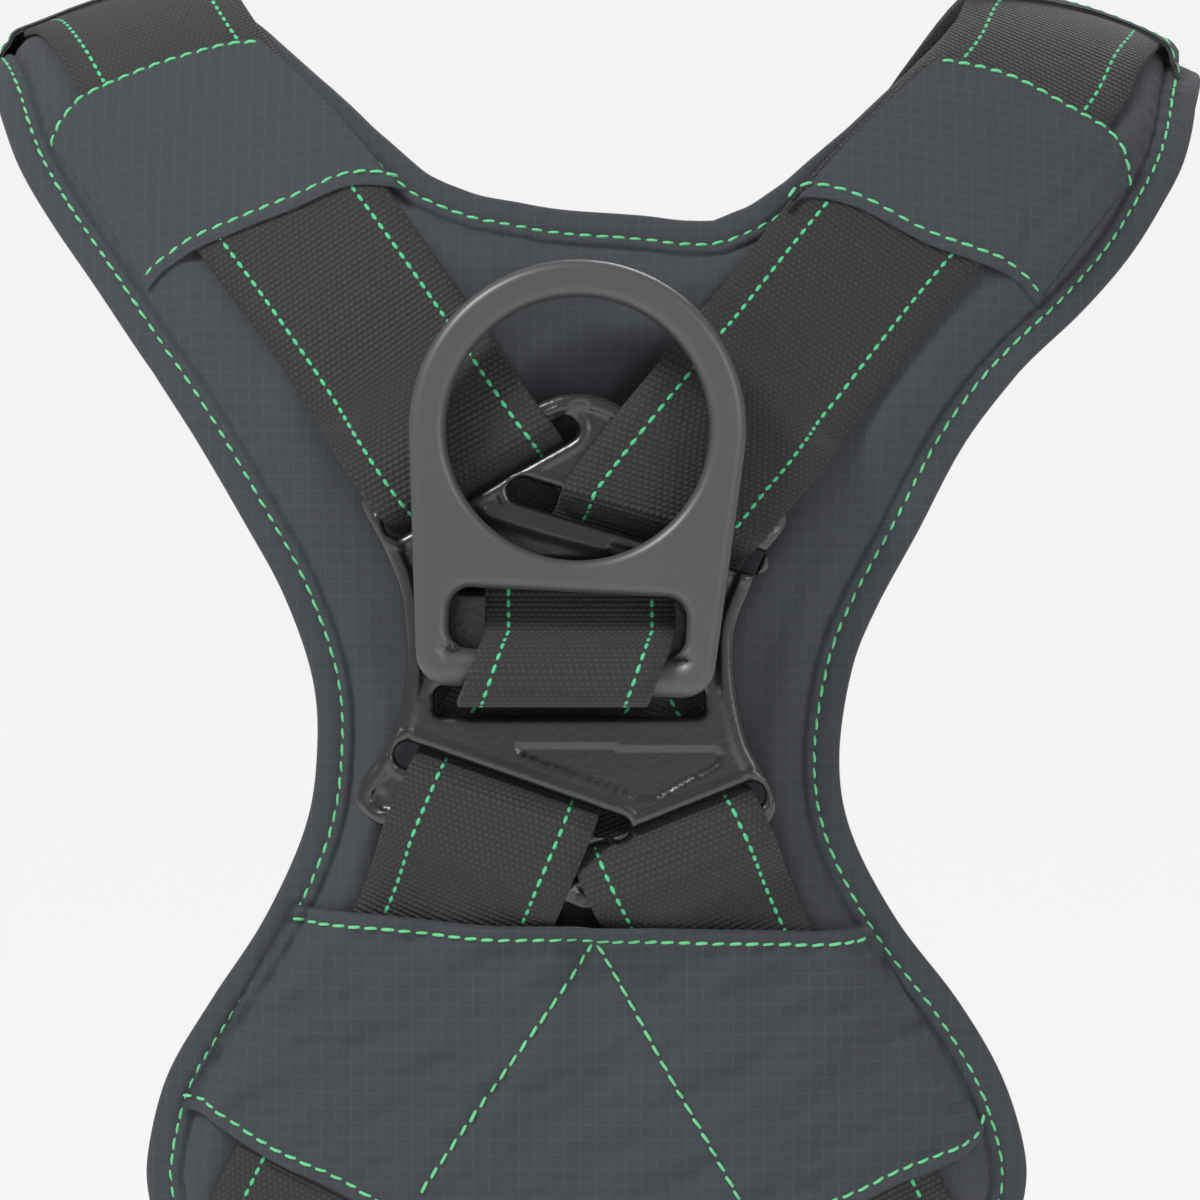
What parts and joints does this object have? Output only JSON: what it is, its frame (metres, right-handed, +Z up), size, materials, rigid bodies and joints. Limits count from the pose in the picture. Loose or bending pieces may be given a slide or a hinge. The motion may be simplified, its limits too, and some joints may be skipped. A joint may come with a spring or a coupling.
{
  "type": "tree climbing saddle",
  "caption": "Full-body climbing harness: padded dorsal yoke with sewn sleeves, moulded strap plate, hinged dorsal ring, chest and waist buckles, side rings and leg loops",
  "frame": {"origin": "On the wearer's torso axis, midway across the harness, level with the hinge bar of the dorsal ring.", "axes": "+Z points up the wearer's spine, -Y points out of the wearer's back, +Y is the way the wearer faces, +X is the wearer's right. Stored worn, with the dorsal ring raised against the back."},
  "size_m": [0.3894, 0.2903, 0.7094],
  "materials": {
    "pad_cloth": "charcoal ripstop polyester, dull, fine square grid of thicker threads",
    "binding_cloth": "plain woven edge tape, dull",
    "mesh_lining": "open breathable spacer mesh, matt",
    "foam": "closed-cell foam, hidden",
    "load_webbing": "heavy ribbed polyester webbing, black with green tracer threads",
    "light_webbing": "light webbing, matt black",
    "moulded_plate": "grained moulded nylon with a slight sheen",
    "forged_ring": "dark grey satin coating over a forging, fine grain",
    "hardware": "dark grey satin coating",
    "button_plastic": "matt black"
  },
  "bodies": {
    "harness": {"pad_lining": "mesh_lining", "pad_foam": "foam", "pad_cover": "pad_cloth", "pad_binding": "binding_cloth", "shoulder_sleeve_left": "pad_cloth", "shoulder_sleeve_right": "pad_cloth", "top_sleeve_left": "pad_cloth", "top_sleeve_right": "pad_cloth", "lumbar_sleeve": "pad_cloth", "dorsal_plate": "moulded_plate", "ring_strap": "load_webbing", "main_strap_left": "load_webbing", "main_strap_right": "load_webbing", "chest_strap_fixed": "load_webbing", "chest_keeper": "hardware", "chest_buckle_frame": "hardware", "belt_pad": "pad_cloth", "belt_lining": "mesh_lining", "belt_strap": "load_webbing", "side_loop_left": "load_webbing", "side_loop_right": "load_webbing", "waist_strap_fixed": "load_webbing", "waist_keeper": "hardware", "waist_buckle_frame": "hardware", "leg_pad_left": "pad_cloth", "leg_pad_right": "pad_cloth", "leg_strap_left": "load_webbing", "leg_strap_right": "load_webbing", "leg_slider_left": "hardware", "leg_slider_right": "hardware", "rear_riser_left": "light_webbing", "rear_riser_right": "light_webbing", "front_riser_left": "light_webbing", "front_riser_right": "light_webbing"},
    "dorsal_ring": {"dorsal_ring": "forged_ring"},
    "side_ring_left": {"side_ring_left": "forged_ring"},
    "side_ring_right": {"side_ring_right": "forged_ring"},
    "shoulder_slider_left": {"shoulder_slider_left": "hardware"},
    "shoulder_slider_right": {"shoulder_slider_right": "hardware"},
    "chest_tab": {"chest_buckle_tab": "hardware", "chest_strap_pull": "load_webbing"},
    "waist_tab": {"waist_buckle_tab": "hardware", "waist_strap_pull": "load_webbing"},
    "chest_button_upper": {"chest_button_upper": "button_plastic"},
    "chest_button_lower": {"chest_button_lower": "button_plastic"},
    "waist_button_upper": {"waist_button_upper": "button_plastic"},
    "waist_button_lower": {"waist_button_lower": "button_plastic"}
  },
  "joints": [
    {"name": "dorsal_ring_hinge", "type": "hinge", "parent": "harness", "child": "dorsal_ring", "pos_m": [-0.0035, -0.1475, 0], "axis": [0.9986, 0, -0.0523], "range_deg": [0, 150]},
    {"name": "side_ring_left_hinge", "type": "hinge", "parent": "harness", "child": "side_ring_left", "pos_m": [-0.1767, 0.004, -0.275], "axis": [0, 1, 0], "range_deg": [0, 120]},
    {"name": "side_ring_right_hinge", "type": "hinge", "parent": "harness", "child": "side_ring_right", "pos_m": [0.1767, 0.004, -0.275], "axis": [0, -1, 0], "range_deg": [0, 120]},
    {"name": "shoulder_slider_left_slide", "type": "slide", "parent": "harness", "child": "shoulder_slider_left", "axis": [0, 0, 1], "range_m": [-0.02, 0.02]},
    {"name": "shoulder_slider_right_slide", "type": "slide", "parent": "harness", "child": "shoulder_slider_right", "axis": [0, 0, 1], "range_m": [-0.02, 0.02]},
    {"name": "chest_tab_slide", "type": "slide", "parent": "harness", "child": "chest_tab", "axis": [1, 0, 0], "range_m": [0, 0.016]},
    {"name": "chest_button_upper_press", "type": "slide", "parent": "harness", "child": "chest_button_upper", "axis": [0, 0, -1], "range_m": [0, 0.0013], "stiffness_N_per_m": 400, "springref_m": -0.001},
    {"name": "chest_button_lower_press", "type": "slide", "parent": "harness", "child": "chest_button_lower", "axis": [0, 0, 1], "range_m": [0, 0.0013], "stiffness_N_per_m": 400, "springref_m": -0.001},
    {"name": "waist_tab_slide", "type": "slide", "parent": "harness", "child": "waist_tab", "axis": [1, 0, 0], "range_m": [0, 0.03]},
    {"name": "waist_button_upper_press", "type": "slide", "parent": "harness", "child": "waist_button_upper", "axis": [0, 0, -1], "range_m": [0, 0.0025], "stiffness_N_per_m": 400, "springref_m": -0.001},
    {"name": "waist_button_lower_press", "type": "slide", "parent": "harness", "child": "waist_button_lower", "axis": [0, 0, 1], "range_m": [0, 0.0025], "stiffness_N_per_m": 400, "springref_m": -0.001}
  ]
}
